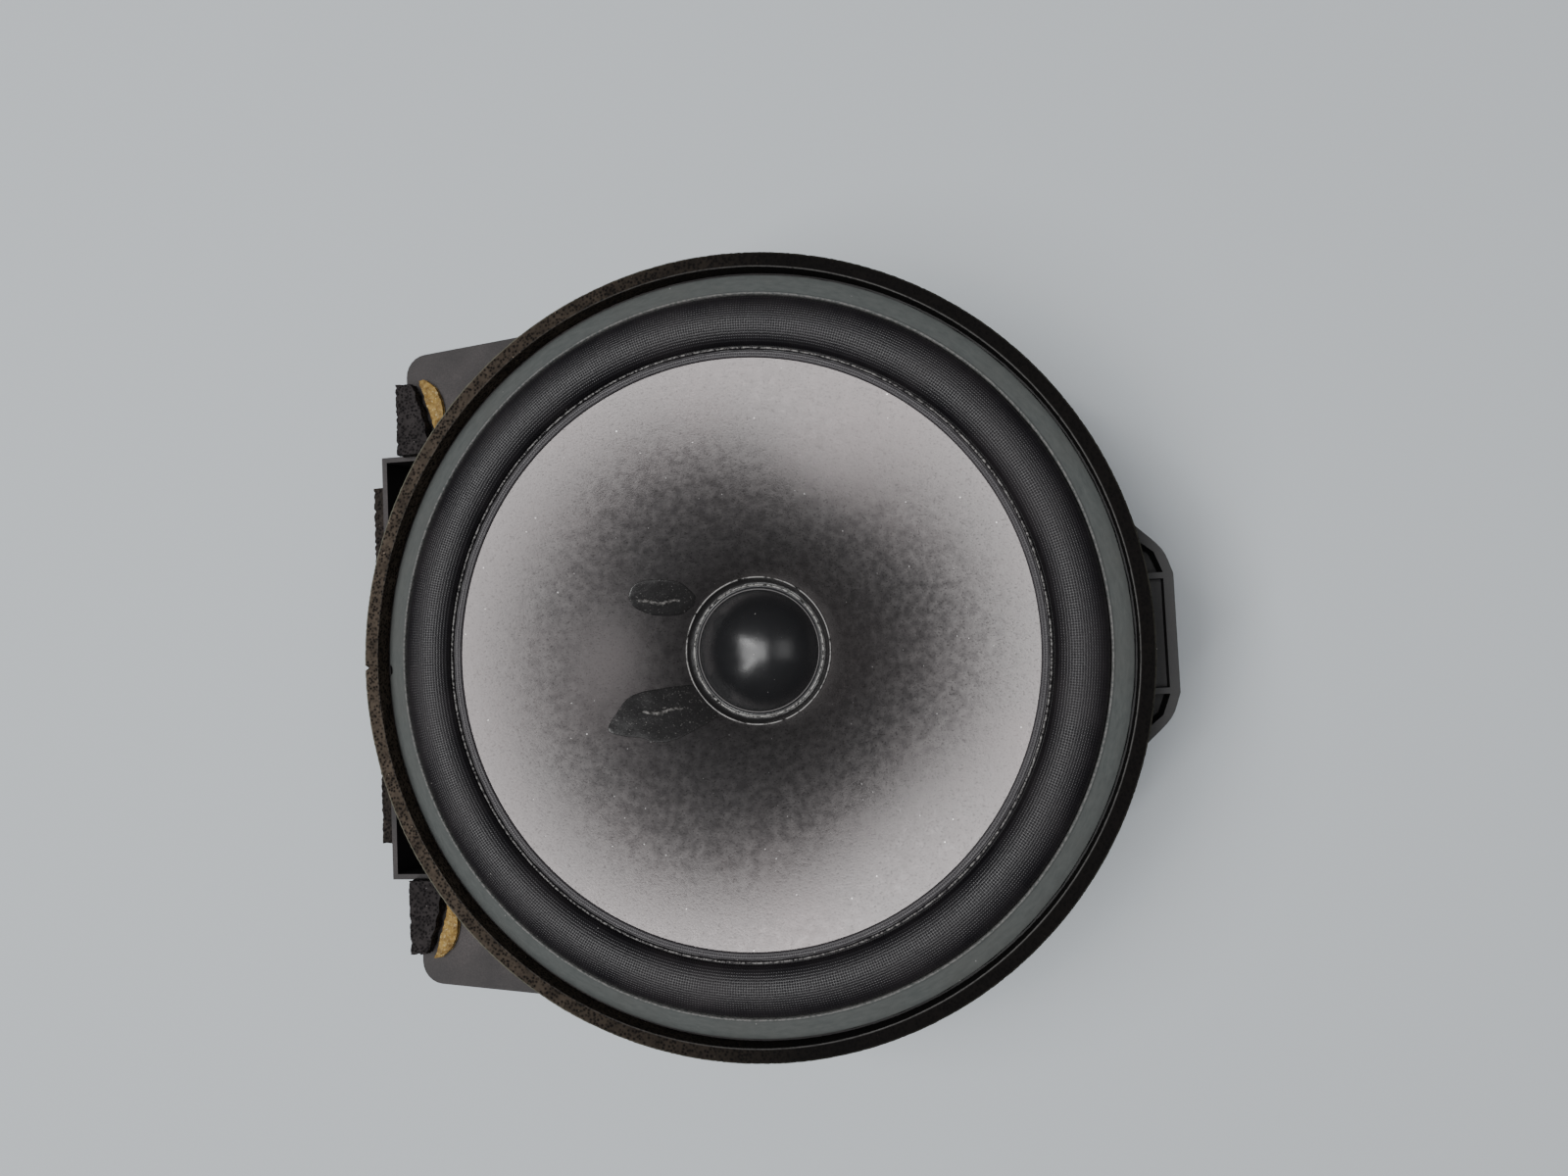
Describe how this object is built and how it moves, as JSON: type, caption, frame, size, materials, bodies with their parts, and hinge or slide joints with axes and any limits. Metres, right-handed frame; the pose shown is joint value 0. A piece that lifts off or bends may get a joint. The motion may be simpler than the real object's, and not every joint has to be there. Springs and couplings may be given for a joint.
{
  "type": "door loudspeaker",
  "caption": "Round car-door woofer: silver-grey cone with rubber surround, foam-sealed plastic chassis with a pocketed bracket and a clip loop, ferrite motor behind.",
  "frame": {"origin": "middle of the motor's flat rear face, on the cone's axis", "axes": "+Z along the cone's axis towards the listener, +X towards the clip loop, -X towards the bracket with the pocket"},
  "size_m": [0.1758, 0.1686, 0.062],
  "materials": {
    "chassis": "fine moulded texture, dusty",
    "foam": "open-cell foam, dusty",
    "clamp_card": "flat matte grey-green",
    "surround_rubber": "satin with a fine cloth grain",
    "cone": "satin silver-grey, mottled",
    "dust_cap": "glossy black, dusty",
    "glue": "set black glue",
    "former": "bare foil",
    "copper": "enamelled or bare copper",
    "spider_cloth": "resin-set woven cloth",
    "plated_steel": "zinc plated",
    "ferrite": "dark sintered ferrite",
    "rivet_zinc": "bright",
    "terminal_plastic": "moulded",
    "tinned_brass": "tinned",
    "braid": "tinsel braid",
    "adhesive": "aged yellow adhesive, granular"
  },
  "bodies": {
    "frame": {"chassis": "chassis", "front_seal": "foam", "clamp_ring": "clamp_card", "surround": "surround_rubber", "spider": "spider_cloth", "yoke": "plated_steel", "pole_cap": "copper", "magnet": "ferrite", "top_plate": "plated_steel", "rivet_1": "rivet_zinc", "rivet_2": "rivet_zinc", "rivet_3": "rivet_zinc", "rivet_4": "rivet_zinc", "terminal_block": "terminal_plastic", "blade_upper": "tinned_brass", "blade_lower": "tinned_brass", "lead_upper": "braid", "lead_lower": "braid", "foam_pad_upper": "foam", "foam_pad_lower": "foam", "adhesive_upper": "adhesive", "adhesive_lower": "adhesive", "foam_strip": "foam"},
    "cone_body": {"cone": "cone", "dust_cap": "dust_cap", "cap_glue": "glue", "coil_former": "former", "coil_winding": "copper", "neck_glue": "glue", "lead_glue_upper": "glue", "lead_glue_lower": "glue"}
  },
  "joints": [
    {"name": "cone_travel", "type": "slide", "parent": "frame", "child": "cone_body", "axis": [0, 0, 1], "range_m": [-0.005, 0.005], "stiffness_N_per_m": 1400, "deforming": ["surround", "spider", "lead_upper", "lead_lower"]}
  ]
}
